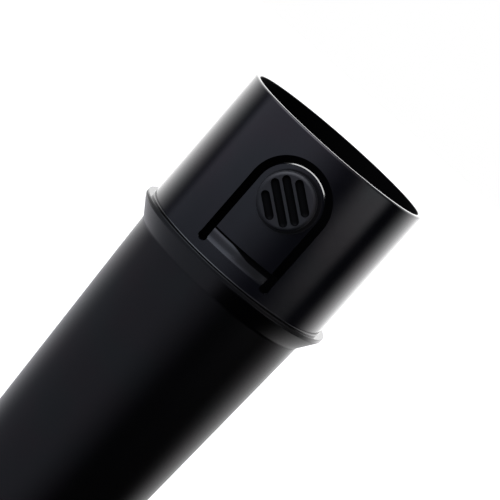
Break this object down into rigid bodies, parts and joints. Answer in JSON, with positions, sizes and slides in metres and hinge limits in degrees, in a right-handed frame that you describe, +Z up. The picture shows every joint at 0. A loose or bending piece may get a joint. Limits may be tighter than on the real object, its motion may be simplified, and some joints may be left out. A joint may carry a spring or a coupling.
{
  "type": "leaf blower nozzle tube",
  "caption": "Black moulded leaf blower nozzle tube: glossy spigot with a push-button latch tongue, stop flange with a conical underside, and a matte tapering blow pipe.",
  "frame": {"origin": "centre of the outlet's end face, on the tube's axis, at the bottom of the standing tube", "axes": "+Z up the tube's axis from the outlet to the mouth, -Y out through the middle of the latch button, +X to the right for someone who faces the button"},
  "size_m": [0.0852, 0.0852, 0.34],
  "materials": {
    "black_plastic": "smooth and glossy on the spigot and its latch tongue, fine matte mould texture from the flange rim down"
  },
  "bodies": {
    "root": {"nozzle_tube": "black_plastic"}
  },
  "joints": []
}
